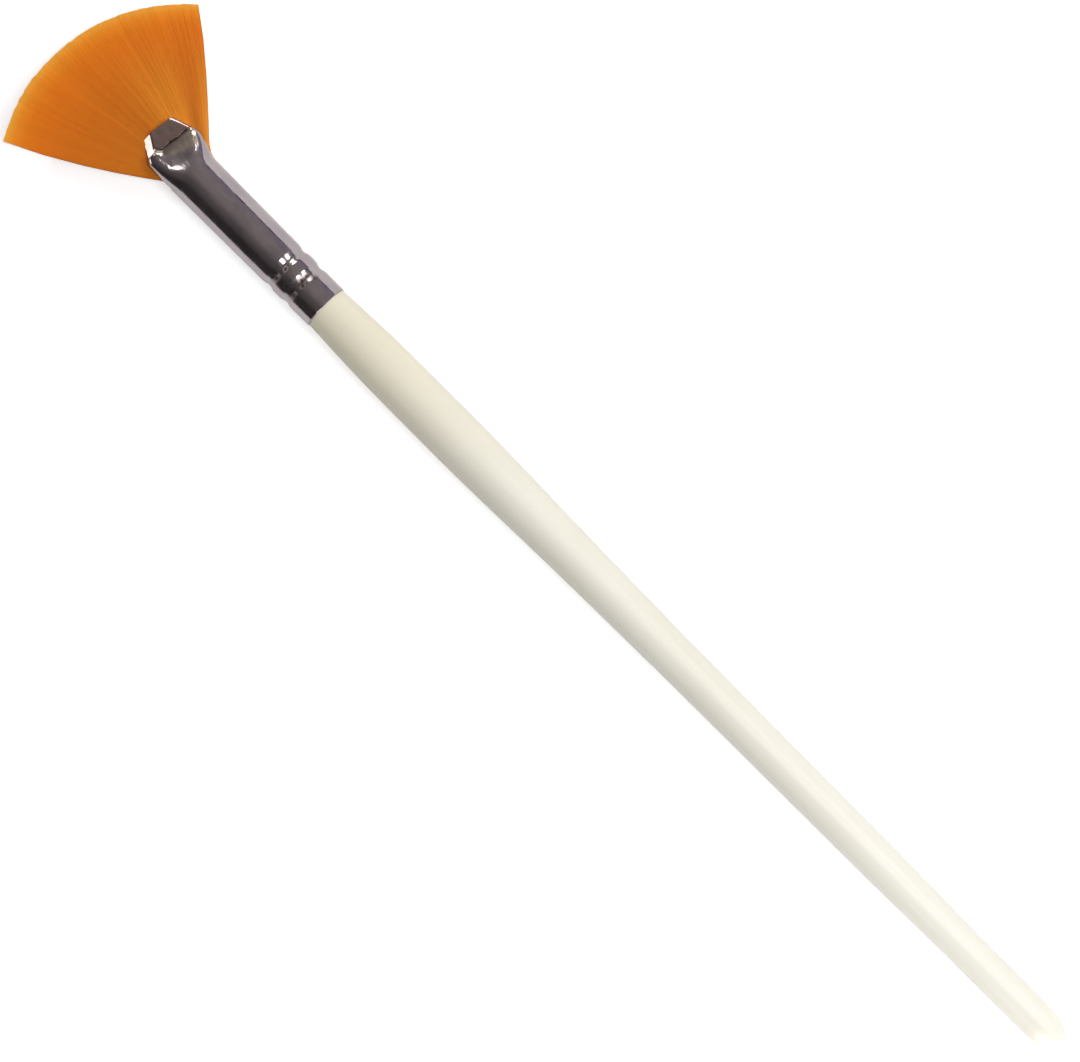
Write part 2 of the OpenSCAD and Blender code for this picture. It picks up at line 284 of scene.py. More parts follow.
corner_y = float(exit_point(1)[1] + reach(1) * np.sin(fan_angle(1)))
corner_z = float(fan_z(1, reach(1), reach(1))) + RIB
ROLL = math.asin(BELLY_D / 2 / math.hypot(corner_y, corner_z)) - math.atan(corner_z / corner_y)
AS_LAID = Matrix.Rotation(-ROLL, 3, "X")


# Mesh and node helpers

SHARP_ANGLE, FULL_LEVEL = 40, 255


def to_metres(points):
    """Brush points in millimetres from the joint, x towards the tail, to the place where the brush lies."""
    return np.asarray(points, float) @ np.array(AS_LAID).T * MM + np.array(HOME)


def link_object(name, data):
    ob = bpy.data.objects.new(name, data)
    bpy.context.scene.collection.objects.link(ob)
    return ob


def make_object(name, points, faces):
    """A mesh object from points in the brush's own place and faces of three or four corners."""
    mesh = bpy.data.meshes.new(name)
    mesh.from_pydata(to_metres(points).tolist(), [], [tuple(int(k) for k in f) for f in faces])
    mesh.polygons.foreach_set("use_smooth", [True] * len(mesh.polygons))
    mesh.set_sharp_from_angle(angle=math.radians(SHARP_ANGLE))
    mesh.validate()
    return link_object(name, mesh)


def set_attribute(mesh, label, values):
    """Gives each point of a mesh a number that its material reads."""
    layer = mesh.attributes.new(label, "FLOAT", "POINT")
    layer.data.foreach_set("value", values.astype(np.float32))


class Nodes:
    """A short way to build the node tree of a material or a world."""

    def __init__(self, owner, output="ShaderNodeOutputMaterial"):
        self.owner = owner
        owner.use_nodes = True
        self.tree = owner.node_tree
        self.tree.nodes.clear()
        self.output = self.add(output)

    def add(self, kind, inputs=None, **settings):
        node = self.tree.nodes.new(kind)
        for key, value in settings.items():
            setattr(node, key, value)
        for key, value in (inputs or {}).items():
            self.put(node.inputs[key], value)
        return node

    def put(self, socket, value):
        if isinstance(value, bpy.types.NodeSocket):
            self.tree.links.new(value, socket)
        else:
            socket.default_value = value

    def math(self, operation, a, b, clamp=False):
        return self.add("ShaderNodeMath", {0: a, 1: b}, operation=operation, use_clamp=clamp).outputs[0]

    def times(self, a, b):
        return self.math("MULTIPLY", a, b)

    def between(self, value, low, high, to_low=0.0, to_high=1.0):
        """A soft step from one level to the other while the value goes from low to high."""
        limits = {"Value": value, "From Min": low, "From Max": high, "To Min": to_low, "To Max": to_high}
        return self.add("ShaderNodeMapRange", limits, interpolation_type="SMOOTHSTEP").outputs[0]

    def noise(self, vector, scale, detail=2.0, roughness=0.5):
        looks = {"Vector": vector, "Scale": scale, "Detail": detail, "Roughness": roughness}
        return self.add("ShaderNodeTexNoise", looks).outputs[0]

    def place(self):
        """Object coordinates in metres."""
        return self.add("ShaderNodeTexCoord").outputs["Object"]

    def stretched(self, along):
        """Object coordinates in metres: under 1, along stretches the detail along the brush."""
        inputs = {"Vector": self.place(), "Scale": (along, 1.0, 1.0)}
        return self.add("ShaderNodeMapping", inputs).outputs[0]

    def attribute(self, name):
        return self.add("ShaderNodeAttribute", attribute_name=name).outputs["Fac"]

    def mix(self, factor, a, b):
        inputs = {"Factor": factor, "A": a, "B": b}
        return self.add("ShaderNodeMix", inputs, data_type="RGBA").outputs["Result"]

    def ramp(self, value, stops):
        """A colour ramp with stops of (place, colour), from 0 to 1."""
        node = self.add("ShaderNodeValToRGB", {0: value})
        elements = node.color_ramp.elements
        elements[0].color, elements[-1].color = stops[0][1], stops[-1][1]
        for at, colour in stops[1:-1]:
            elements.new(at).color = colour
        return node.outputs["Color"]

    def bumped(self, height, distance, strength):
        inputs = {"Height": height, "Distance": distance, "Strength": strength}
        return self.add("ShaderNodeBump", inputs).outputs[0]

    def finish(self, shader):
        self.put(self.output.inputs["Surface"], shader)
        return self.owner


def material_nodes(name):
    return Nodes(bpy.data.materials.new(name))


def srgb(r, g, b):
    """A colour written as 0 to 255 in sRGB, as Blender's linear colour."""
    def linear(c):
        c /= FULL_LEVEL
        return c / 12.92 if c <= 0.04045 else ((c + 0.055) / 1.055) ** 2.4
    return (linear(r), linear(g), linear(b), 1.0)


def dress(piece, material, node):
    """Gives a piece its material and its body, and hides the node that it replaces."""
    piece.data.materials.clear()
    piece.data.materials.append(material)
    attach(piece, "root")
    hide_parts(node)


# Materials

# In metres: the depth of bumps, and the length behind the ferrule over which painted shade makes the lacquer
# darker and yellower
GRAIN_DEPTH, RESIN_DEPTH, SHADE_LEN = 0.00003, 0.00005, 0.045


def lacquer():
    m = material_nodes("ivory_lacquer")
    along_grain = m.stretched(0.08)
    streak = m.noise(along_grain, 900, 3.0, 0.55)
    cloud = m.noise(m.stretched(0.35), 60)
    colour = m.mix(m.between(cloud, 0.35, 0.65), srgb(243, 240, 224), srgb(246, 244, 231))
    # Painted shade: the lacquer is darker and yellower near the ferrule, where less light falls on it
    behind = m.add("ShaderNodeSeparateXYZ", {0: m.place()}).outputs["X"]
    shade_near_ferrule = m.between(behind, HOME.x, HOME.x + SHADE_LEN, 1.0, 0.0)
    colour = m.mix(shade_near_ferrule, colour, srgb(240, 234, 210))
    colour = m.mix(m.between(streak, 0.45, 0.75, 0.0, 0.05), colour, srgb(205, 196, 170))
    grain = m.math("ADD", m.times(streak, 0.5), m.noise(along_grain, 260))
    shader = m.add("ShaderNodeBsdfPrincipled", {
        "Base Color": colour,
        "Roughness": m.between(m.noise(m.stretched(1.0), 700, 3.0), 0.3, 0.7, 0.4, 0.46),
        "Normal": m.bumped(grain, GRAIN_DEPTH, 0.55),
        "Coat Weight": 0.12,
        "Coat Roughness": 0.3,
    })
    return m.finish(shader.outputs[0])


def plated_metal():
    """Nickel plate: brownish before the crease, yellowish on the slope behind it, nearly black where shade is
    painted in the crease and by the grooves.
    """
    m = material_nodes("nickel_plate")
    fine = m.noise(m.stretched(0.3), 2400, 3.0, 0.6)
    broad = m.noise(m.stretched(0.6), 320)
    painted_shade = m.attribute("painted_shade")
    colour = m.mix(m.between(broad, 0.35, 0.65), (0.5, 0.445, 0.465, 1), (0.57, 0.505, 0.515, 1))
    # The near black is painted shade in the crease and by the grooves; tarnish and wear are the plate's own
    for factor, tint in (
        (m.attribute("tarnish"), (0.54, 0.4, 0.36, 1)),
        (m.attribute("worn"), (0.78, 0.67, 0.54, 1)),
        (painted_shade, (0.05, 0.032, 0.025, 1)),
    ):
        colour = m.mix(factor, colour, tint)
    shader = m.add("ShaderNodeBsdfPrincipled", {
        "Base Color": colour,
        "Metallic": 1.0,
        "Roughness": m.math("ADD", m.between(fine, 0.3, 0.7, 0.1, 0.2), m.times(painted_shade, 0.3)),
        "Normal": m.bumped(m.math("ADD", m.times(fine, 0.35), broad), GRAIN_DEPTH, 0.5),
    })
    return m.finish(shader.outputs[0])


# The thread's colour from the mouth to the tip: the lighter, yellower tip end is painted light, for light that
# shines through the thin tips
THREAD_STOPS = (
    (0.0, srgb(218, 134, 30)),
    (0.35, srgb(224, 129, 26)),
    (0.6, srgb(231, 129, 21)),
    (0.8, srgb(240, 134, 20)),
    (0.88, srgb(243, 143, 23)),
    (0.95, srgb(251, 164, 40)),
    (1.0, srgb(255, 198, 74)),
)

# A painted sheen: a lighter wedge from the mouth towards the +Y side, where the threads catch the light: where
# across the fan it rises and falls, where along the threads it fades and how strong it is. The fan's edge there
# is lighter too, as a painted highlight
WEDGE_RISE, WEDGE_FALL, WEDGE_FADE, SHEEN_SHARE = (0.42, 0.64), (0.87, 0.74), (0.95, 0.2), 0.6
LIGHT_EDGE, LIGHT_EDGE_LEVEL = (0.9, 0.97), 0.9

# How much lighter and darker a thread's own tone makes it, how much of the light it spreads on through itself,
# and how clear it is to the lamps towards the mouth and the tip
LIGHTER, DARKER, THROUGH, CLEAR_ALONG, CLEAR = 0.1, 0.18, 0.15, (0.6, 1.0), (0.45, 0.8)


def bristle():
    """Orange thread that lets part of the light through to the threads under it, so a thick layer glows."""
    m = material_nodes("orange_bristle")
    tone, along, across = m.attribute("tone"), m.attribute("along"), m.attribute("across")
    colour = m.ramp(along, THREAD_STOPS)
    painted_sheen = m.times(m.between(across, *WEDGE_RISE), m.between(across, *WEDGE_FALL))
    painted_sheen = m.math("ADD", painted_sheen, m.between(across, *LIGHT_EDGE, 0.0, LIGHT_EDGE_LEVEL))
    painted_sheen = m.times(painted_sheen, m.between(along, *WEDGE_FADE))
    colour = m.mix(m.times(painted_sheen, SHEEN_SHARE), colour, srgb(255, 173, 48))
    colour = m.mix(m.times(tone, LIGHTER), colour, srgb(255, 150, 50))
    colour = m.mix(m.between(tone, 0.5, 0.0, 0.0, DARKER), colour, srgb(204, 90, 10))
    surface = m.add("ShaderNodeBsdfPrincipled", {
        "Base Color": colour,
        "Roughness": m.between(tone, 0.0, 1.0, 0.46, 0.56),
        "Specular IOR Level": 0.25,
    })
    through = m.add("ShaderNodeBsdfTranslucent", {"Color": colour})
    thread = m.add("ShaderNodeMixShader", {0: THROUGH, 1: surface.outputs[0], 2: through.outputs[0]})
    clear = m.add("ShaderNodeBsdfTransparent", {"Color": (1.0, 0.7, 0.35, 1)})
    shadow = m.add("ShaderNodeLightPath").outputs["Is Shadow Ray"]
    passed = m.times(shadow, m.between(along, *CLEAR_ALONG, *CLEAR))
    shader = m.add("ShaderNodeMixShader", {0: passed, 1: thread.outputs[0], 2: clear.outputs[0]})
    return m.finish(shader.outputs[0])


def set_resin():
    m = material_nodes("amber_resin")
    cloud = m.noise(m.stretched(1.0), 600, 3.0)
    shader = m.add("ShaderNodeBsdfPrincipled", {
        "Base Color": m.mix(m.between(cloud, 0.3, 0.7), srgb(198, 160, 92), srgb(222, 190, 126)),
        "Roughness": m.between(cloud, 0.3, 0.7, 0.15, 0.3),
        "Normal": m.bumped(cloud, RESIN_DEPTH, 0.4),
        "Subsurface Weight": 0.1,
        "Subsurface Scale": 0.002,
    })
    return m.finish(shader.outputs[0])


# How much the floor glows near the brush and far from it, between which distances, and in reflections
NEAR_GLOW, FAR_GLOW, NEAR, FAR, MIRRORED_GLOW = 0.6, 1.0, 0.2, 0.45, 0.12


def pale_floor():
    """Paper that keeps the shadow: the lamps don't reach far, so it glows more away from the brush."""
    m = material_nodes("pale_floor")
    rays = m.add("ShaderNodeLightPath").outputs
    mirrored = m.math("ADD", rays["Is Glossy Ray"], rays["Is Transmission Ray"], clamp=True)
    distance = m.add("ShaderNodeVectorMath", {0: m.place()}, operation="LENGTH").outputs["Value"]
    level = m.between(distance, NEAR, FAR, NEAR_GLOW, FAR_GLOW)
    seen = m.math("ADD", m.times(rays["Is Camera Ray"], level), m.times(mirrored, MIRRORED_GLOW))
    paper = m.add("ShaderNodeBsdfDiffuse", {"Color": (0.86, 0.86, 0.86, 1)})
    glow = m.add("ShaderNodeEmission", {"Color": (1, 1, 1, 1), "Strength": seen})
    both = m.add("ShaderNodeAddShader", {0: paper.outputs[0], 1: glow.outputs[0]})
    return m.finish(both.outputs[0])


# Handle: one turned rod with its tenon

ROD_RING, TENON_CHAMFER, TENON_STEP, SHOULDER_EDGE = 128, 0.5, 0.2, 0.12
ROD_FROM, ROD_STEP, BUTT_STEP = 0.6, 0.8, 5


def build_handle():
    def tenon_r(q):
        return float(barrel_r(q)) - (WALL + SEAT_GAP)

    rows = [(-TENON_LEN, tenon_r(TENON_LEN) - TENON_CHAMFER)]
    rows += [(-q, tenon_r(q)) for q in np.arange(TENON_LEN - TENON_CHAMFER, 0, -TENON_STEP)]
    rows += [(0.0, tenon_r(0))]
    rows += [
        (SHOULDER_EDGE * (1 - math.cos(a)), SHOULDER_D / 2 - SHOULDER_EDGE * (1 - math.sin(a)))
        for a in np.radians([0, 30, 60, 90])
    ]
    rows += [(x, float(curve(HANDLE_KEYS, x))) for x in np.arange(ROD_FROM, TAIL_END, ROD_STEP)]
    rows += [
        (TAIL_END + BUTT_LEN * math.sin(a), TAIL_D / 2 * math.cos(a))
        for a in np.radians(np.arange(0, 90, BUTT_STEP))
    ]
    angles = np.linspace(0, 2 * np.pi, ROD_RING, endpoint=False)
    points = [(x, r * math.cos(a), r * math.sin(a)) for x, r in rows for a in angles]
    front, back = len(points), len(points) + 1
    points += [(-TENON_LEN, 0, 0), (HANDLE_LEN, 0, 0)]
    pairs = [(j, (j + 1) % ROD_RING) for j in range(ROD_RING)]
    last = (len(rows) - 1) * ROD_RING
    faces = [
        (i + ROD_RING + j, i + ROD_RING + k, i + k, i + j)
        for i in range(0, last, ROD_RING) for j, k in pairs
    ]
    faces += [(front, j, k) for j, k in pairs]
    faces += [(back, last + k, last + j) for j, k in pairs]
    return make_object("handle_body", points, faces)


# Ferrule: a thin skin with an outer and an inner face, open at both ends and at the side slits

# Where the rows of its mesh change their distance: q, distance
ROW_STEPS = ((0, 0.1), (11, 0.8), (24, 0.15), (27.2, 0.25), (SLIT_Q, 0.15), (34.2, 0.06), (36, 0.15))
QUARTER = 26

# q, lateral place, depth, radius
DENTS = (
    (25.5, -0.6, 0.02, 0.45),
    (36.9, -0.55, 0.04, 0.5),
    (36.2, 1.2, 0.05, 0.7),
    (34.2, -1.9, 0.05, 0.9),
)

# Painted shade: dark spots in and beside the grooves, which also put out the lamps' highlights there. q,
# lateral place, strength, radius
SHADE_SPOTS = (
    (8.15, -2.2, 1.0, 1.0),
    (4.45, -2.2, 1.0, 1.0),
    (8.1, -0.25, 1.0, 0.75),
    (4.38, -0.25, 1.0, 0.75),
    (6.2, -1.4, 0.5, 1.5),
    (5.15, 0.3, 0.97, 0.75),
    (5.1, 1.35, 0.97, 0.7),
    (4.0, 1.85, 0.95, 0.6),
)

# The crease: how deep and wide it is, how wide and strong the painted shade in it, and how softly both end
# beside the lips' flat. It wavers, and its painted shade is wider and narrower, by waves of (height, pace,
# start)
CREASE_DEPTH, CREASE_HALF, SHADE_HALF, SHADE_GAIN, LIP_FADE = 0.03, 0.4, 0.42, 1.3, 0.4
WAVER = ((0.06, 2.3, 0.8), (0.04, 5.9, 0))
WIDTH_MEAN, WIDTH_WAVES = 0.85, ((0.35, 2.1, 0.2), (0.2, 6.1, 0))

# How softly the tarnish starts at the crease, and the wear at the slope's upper and front edges
TARNISH_BACK, TARNISH_FADE = 0.1, 0.3
WORN_RISE, WORN_FADE, WORN_FRONT = 0.25, 0.35, 0.2
RIM_W, RIM_STEPS, RIM_ANGLE = 0.06, 2, 55


def spots(table, q, l, z):
    """Soft spots on the upper side, each from a row of (q, lateral place, strength, radius)."""
    return (z > 0) * sum(
        much * np.exp(-2 * ((q - at_q) ** 2 + (l - at_l) ** 2) / (r * r)) for at_q, at_l, much, r in table
    )


def waves(table, l):
    return sum(height * np.sin(pace * l + start) for height, pace, start in table)


def ferrule_grid():
    """The rows' q and the angles of their points, where the first and last of each half bound a slit."""
    ends = [q for q, _ in ROW_STEPS[1:]] + [FRONT_Q]
    spans = [np.arange(q, end, step) for (q, step), end in zip(ROW_STEPS, ends)]
    stations = np.unique(np.round(np.concatenate(spans + [[FRONT_Q]]), 4))
    low = np.arctan(SLIT_HALF / half_w(stations))
    up = low[:, None] + (np.pi / 2 - low)[:, None] * np.linspace(0, 1, QUARTER + 1)
    back = np.pi - up[:, -2::-1]
    zero = np.zeros((len(stations), 1))
    return stations, np.concatenate([zero, up, back, zero + np.pi, np.pi + up, np.pi + back], axis=1)


def ferrule_face(q, angles, depth):
    """Points of the outer or inner face, and how much painted shade, tarnish and wear each has."""
    r = ring_r(q, angles, depth)
    l, z = r * np.cos(angles), r * np.sin(angles)
    lips = (np.abs(z) > MOUTH_H / 4) * ease((half_w(q) - bevel_w(q, l) - np.abs(l)) / LIP_FADE)
    off = q - crease(l) - waves(WAVER, l)
    width = WIDTH_MEAN + waves(WIDTH_WAVES, l)
    # Painted shade along the crease, and in dark spots in and beside the grooves
    crease_shade = np.minimum(bump(off / SHADE_HALF / width) * SHADE_GAIN, 1) * lips
    painted_shade = np.minimum(crease_shade + spots(SHADE_SPOTS, q, l, z), 1)
    tarnish = ease((q - crease(l) + TARNISH_BACK) / TARNISH_FADE)
    p = squareness(q)
    height = half_h(q) * np.maximum(1 - (np.abs(l) / half_w(q)) ** p, 0) ** (1 / p)
    worn = ease((height - top_h(q, l) + WORN_RISE) / WORN_FADE) * ease((crease(l) - q) / WORN_FRONT)
    line = CREASE_DEPTH * bump(off / CREASE_HALF) * lips
    z = z - spots(DENTS, q, l, z) - line * np.sign(z)
    x = -q + l * np.sin(mouth_turn(q))
    y = mouth_shift(q) + l * np.cos(mouth_turn(q))
    marks = {"painted_shade": painted_shade, "tarnish": tarnish, "worn": worn * (q > CRIMP_Q)}
    return np.stack([x, y, z], axis=-1).reshape(-1, 3), marks


def build_ferrule():
    stations, angles = ferrule_grid()
    rows, ring = angles.shape
    slit_row = int(np.argmin(np.abs(stations - SLIT_Q)))
    sides = {0, ring - 1, ring // 2 - 1, ring // 2}
    faces_of_skin = [ferrule_face(stations[:, None], angles, depth) for depth in (0, WALL)]

    def on(i, j):
        return 0 <= i < rows - 1 and not (i >= slit_row and j % ring in sides)

    def o(i, j):
        return i * ring + j % ring

    def n(i, j):
        return rows * ring + o(i, j)

    faces = []
    for i in range(rows - 1):
        for j in range(ring):
            if not on(i, j):
                continue
            faces.append((o(i, j), o(i + 1, j), o(i + 1, j + 1), o(i, j + 1)))
            faces.append((n(i, j), n(i, j + 1), n(i + 1, j + 1), n(i + 1, j)))
            if not on(i - 1, j):
                faces.append((o(i, j), o(i, j + 1), n(i, j + 1), n(i, j)))
            if not on(i + 1, j):
                faces.append((o(i + 1, j), n(i + 1, j), n(i + 1, j + 1), o(i + 1, j + 1)))
            if not on(i, j - 1):
                faces.append((o(i, j), n(i, j), n(i + 1, j), o(i + 1, j)))
            if not on(i, j + 1):
                faces.append((o(i, j + 1), o(i + 1, j + 1), n(i + 1, j + 1), n(i, j + 1)))
    used = sorted({k for f in faces for k in f})
    order = {k: i for i, k in enumerate(used)}
    points = np.concatenate([points for points, _ in faces_of_skin])
    piece = make_object("ferrule_shell", points[used], [[order[k] for k in f] for f in faces])
    for label in ("painted_shade", "tarnish", "worn"):
        values = np.concatenate([marks[label].ravel() for _, marks in faces_of_skin])
        set_attribute(piece.data, label, values[used])
    rim = piece.modifiers.new("rim", "BEVEL")
    rim.width, rim.segments = RIM_W * MM, RIM_STEPS
    rim.limit_method, rim.angle_limit = "ANGLE", math.radians(RIM_ANGLE)
    return piece


# Bristles: each one a thin tapered three-sided thread, shaded partly as the sheet that they make together

BRISTLES, SHARES, SEED, LOCK_SEED = 11600, 4, 11, 5

# Distances: the last points inside the ferrule, a rounded turn at its mouth, then the way to the tip
ROOTS = (19.3, 26.5, 28.4)
TURNS = (0.35, 0.7)
WAYS = (0.1, 0.2, 0.34, 0.52, 0.76, 1.0)

# How far the threads stand to the +Y side as they leave the mouth, and over which way they lose that: its
# start, how that start moves across the fan, and its length
LEAN, LEAN_V, LEAN_RATIO, LEAN_LEN = 0.45, 11, 4, 13

# How much more those at the -Y edge do: amount, where across the fan, and over which way
TUCK, TUCK_S, TUCK_W, TUCK_LEN = 0.45, 0.4, 0.6, 10

# How much longer the threads on the -Y side are, and where across the fan
LOW_SIDE_MORE, LOW_SIDE_S, LOW_SIDE_W = 0.2, 0.2, 0.4

# Locks pull together, are cut a little short and lie a little high or low
LOCK_PULL, LOCK_SHORT, LOCK_LIFT, LOCK_ROUND, LIFT_LEN = (0.01, 0.08), (0, 0.12), 0.035, 0.4, 0.4

# Part of the threads lie in the sheet's two skins, and a few stray. Their ends differ, less so at the edges
SKIN_SHARE, SKIN_FROM, SKIN_DEPTH = 0.3, 0.86, 0.04
STRAY_SHARE, STRAY_DRIFT, STRAY_RISE, DRIFT = 0.012, 0.35, 0.15, 0.05
UNEVEN, EDGE_FROM, EDGE_UNEVEN = 0.13, 0.97, 0.4

# A thread's radius, its thinning over the last three points, and how much its shading follows the sheet
THREAD_R, THINNING, SHEET_SHARE = (0.047, 0.058), (0.98, 0.9, 0.6), 1.4

# Tone of the threads: mean, spread between locks and within one
TONE, LOCK_TONE, THREAD_TONE = 0.5, 0.22, 0.16

# Where a thread's strip of the map lies in its cell: sides, start and the triangles of its two ends
STRIP_LOW, STRIP_HIGH = 0.02, 0.3
ROOT_CAP = ((0.05, 0.01), (0.25, 0.01), (0.15, 0.05))
TIP_CAP = ((0.05, 0.93), (0.25, 0.93), (0.15, 0.97))


def side_lean(s, v):
    lean = LEAN * (1 - ease((v - LEAN_V - LEAN_RATIO * s) / LEAN_LEN))
    return lean + TUCK * ease((-s - TUCK_S) / TUCK_W) * (1 - ease(v / TUCK_LEN))


def thread_paths(rng, count, s_low, s_high):
    """The middle lines of threads with s in a range, and each one's s, layer and tone of its lock."""
    s = rng.uniform(s_low, s_high, count)
    layer = rng.uniform(-1, 1, count)
    skin = rng.uniform(0, 1, count) < SKIN_SHARE
    layer = np.where(skin, np.sign(layer) * rng.uniform(SKIN_FROM, 1.0, count), layer)
    lock = np.floor((s + 1) / 2 * LOCKS).astype(int).clip(0, LOCKS - 1)
    shared = np.random.default_rng(LOCK_SEED)
    lock_tone = shared.uniform(-1, 1, LOCKS)
    lock_pull = shared.uniform(*LOCK_PULL, LOCKS)
    lock_short = shared.uniform(*LOCK_SHORT, LOCKS)
    lock_lift = shared.uniform(-LOCK_LIFT, LOCK_LIFT, LOCKS)
    lock_s = (lock + 0.5) / LOCKS * 2 - 1
    full = reach(s)
    stray = rng.uniform(0, 1, count) < STRAY_SHARE
    short = np.abs(rng.normal(0, UNEVEN, count))
    short = short + lock_short[lock] * (1 - np.abs(s - lock_s) * LOCKS * LOCK_ROUND)
    short = np.where(np.abs(s) < EDGE_FROM, short, short * EDGE_UNEVEN)
    far = full + LOW_SIDE_MORE * ease((-s - LOW_SIDE_S) / LOW_SIDE_W) - short
    eq, ey = exit_point(s)
    mouth_y = ey + side_lean(s, 0)
    sine, cosine = np.sin(np.pi / 2 * s), np.cos(np.pi / 2 * s)
    paths = []
    for q in ROOTS:
        r = root_r(q)
        squeeze = ease((q - SQUEEZE_Q) / (eq - SQUEEZE_Q))
        y = r * sine + (mouth_y - FULL_R * sine) * squeeze
        paths.append((np.full(count, q), y, np.maximum(r * cosine, EDGE_H / 2)))

    def ahead(v):
        b = fan_angle(s + lock_pull[lock] * ease(v / full) * (lock_s - s))
        side = s * BOW_RATIO / TIP_R * v * (full - v)
        x = eq + v * np.cos(b) - side * np.sin(b)
        y = ey + v * np.sin(b) + side * np.cos(b) + side_lean(s, v)
        return x, y, fan_z(s, v, full)

    before, corner, after = paths[-1], (eq, mouth_y), ahead(WAYS[0] * far)
    for t in TURNS:
        k0, k1, k2 = (1 - t) ** 2, 2 * t * (1 - t), t * t
        x, y = (k0 * before[k] + k1 * corner[k] + k2 * after[k] for k in (0, 1))
        paths.append((x, y, (1 - t) * before[2] + t * after[2]))
    drift = np.where(stray, rng.normal(0, STRAY_DRIFT, count), rng.normal(0, DRIFT, count))
    rise = np.where(stray, rng.uniform(-STRAY_RISE, STRAY_RISE, count), 0)
    a = fan_angle(s)
    for way in WAYS:
        x, y, z = ahead(way * far)
        off = drift * ease(way)
        paths.append((x - off * np.sin(a), y + off * np.cos(a), z + rise * ease(way)))

    # Each one's height: its layer's share of the room that it has
    centre = np.zeros((count, len(paths), 3))
    along = [0.0] * (len(ROOTS) + len(TURNS)) + list(WAYS)
    for k, (x, y, z) in enumerate(paths):
        turn = mouth_turn(x)
        l = (y - mouth_shift(x)) / np.cos(turn)
        half = np.maximum(np.minimum(z, room(x + l * np.sin(turn), l)), EDGE_H / 3) - SKIN_DEPTH
        z = layer * half + lock_lift[lock] * float(ease(along[k] / LIFT_LEN))
        centre[:, k] = np.stack([-x, y, z], axis=-1)
    return centre, s, layer, lock_tone[lock]


def strip_map(count, rows):
    """The map's corners: each thread has its own strip."""
    wide = int(math.ceil(math.sqrt(count)))
    number = np.arange(count)
    cell = np.stack([number % wide, number // wide], axis=-1)
    i = np.arange(rows - 1)[None, :, None]
    j = np.arange(3)[None, None, :]
    u = cell[:, 0][:, None, None] + j / 3 + 0 * i
    v = cell[:, 1][:, None, None] + i / (rows - 1) + 0 * j
    step = 1 / (rows - 1)
    sides = np.stack([
        np.stack([u + STRIP_LOW, u + STRIP_LOW, u + STRIP_HIGH, u + STRIP_HIGH], axis=-1),
        np.stack([v, v + step, v + step, v], axis=-1),
    ], axis=-1)
    caps = [cell[:, None] + np.array(cap) for cap in (ROOT_CAP, TIP_CAP)]
    return np.concatenate([uv.reshape(-1, 2) for uv in (sides, *caps)]) / wide


def build_bristles(name, seed, count, s_low, s_high):
    rng = np.random.default_rng(seed)
    centre, s, layer, lock_tone = thread_paths(rng, count, s_low, s_high)
    rows = centre.shape[1]

    # Three points around each point of the middle line, and normals that partly follow the sheet
    tangent = np.gradient(centre, axis=1)
    tangent /= np.linalg.norm(tangent, axis=2, keepdims=True)
    side = np.cross(tangent, (0.0, 0.0, 1.0))
    side /= np.linalg.norm(side, axis=2, keepdims=True)
    upward = np.cross(side, tangent)
    thinning = np.array([1] * (rows - len(THINNING)) + list(THINNING))
    thick = rng.uniform(*THREAD_R, count)[:, None] * thinning
    spin = rng.uniform(0, 2 * np.pi, count)[:, None, None] + np.arange(3) * 2 * np.pi / 3
    outward = np.cos(spin)[..., None] * side[:, :, None] + np.sin(spin)[..., None] * upward[:, :, None]
    points = to_metres((centre[:, :, None] + thick[:, :, None, None] * outward).reshape(-1, 3))
    facing = outward + SHEET_SHARE * np.sign(layer)[:, None, None, None] * np.array([0.0, 0.0, 1.0])
    facing = facing.reshape(-1, 3) @ np.array(AS_LAID).T
    facing /= np.maximum(np.linalg.norm(facing, axis=1, keepdims=True), TINY)

    # Three rows of quads along each thread and a triangle at each end
    start = (np.arange(count) * rows * 3)[:, None, None]
    i = np.arange(rows - 1)[None, :, None] * 3
    j = np.arange(3)[None, None, :]
    k = (j + 1) % 3
    near = start + i
    quads = np.stack([near + j, near + 3 + j, near + 3 + k, near + k], axis=-1).reshape(-1, 4)
    first = start[:, 0, 0]
    caps = np.concatenate([
        np.stack([first, first + 1, first + 2], axis=-1),
        np.stack([first + (rows - 1) * 3 + m for m in (2, 1, 0)], axis=-1),
    ])
    starts = np.concatenate([np.arange(len(quads)) * 4, len(quads) * 4 + np.arange(len(caps)) * 3])

    mesh = bpy.data.meshes.new(name)
    mesh.vertices.add(len(points))
    mesh.vertices.foreach_set("co", points.ravel())
    mesh.loops.add(quads.size + caps.size)
    mesh.loops.foreach_set("vertex_index", np.concatenate([quads.ravel(), caps.ravel()]))
    mesh.polygons.add(len(starts))
    mesh.polygons.foreach_set("loop_start", starts)
    mesh.update(calc_edges=True)
    mesh.polygons.foreach_set("use_smooth", np.ones(len(starts), bool))
    corners = strip_map(count, rows).astype(np.float32)
    mesh.uv_layers.new(name="OFBake").uv.foreach_set("vector", corners.ravel())
    tone = np.clip(TONE + LOCK_TONE * lock_tone + rng.normal(0, THREAD_TONE, count), 0, 1)
    along = np.array([0] * (len(ROOTS) + len(TURNS)) + list(WAYS))
    set_attribute(mesh, "tone", np.repeat(tone, rows * 3))
    set_attribute(mesh, "along", np.tile(np.repeat(along, 3), count))
    set_attribute(mesh, "across", np.repeat((s + 1) / 2, rows * 3))
    mesh.validate()
    mesh.normals_split_custom_set_from_vertices(facing.tolist())
    return link_object(name, mesh)


# The object

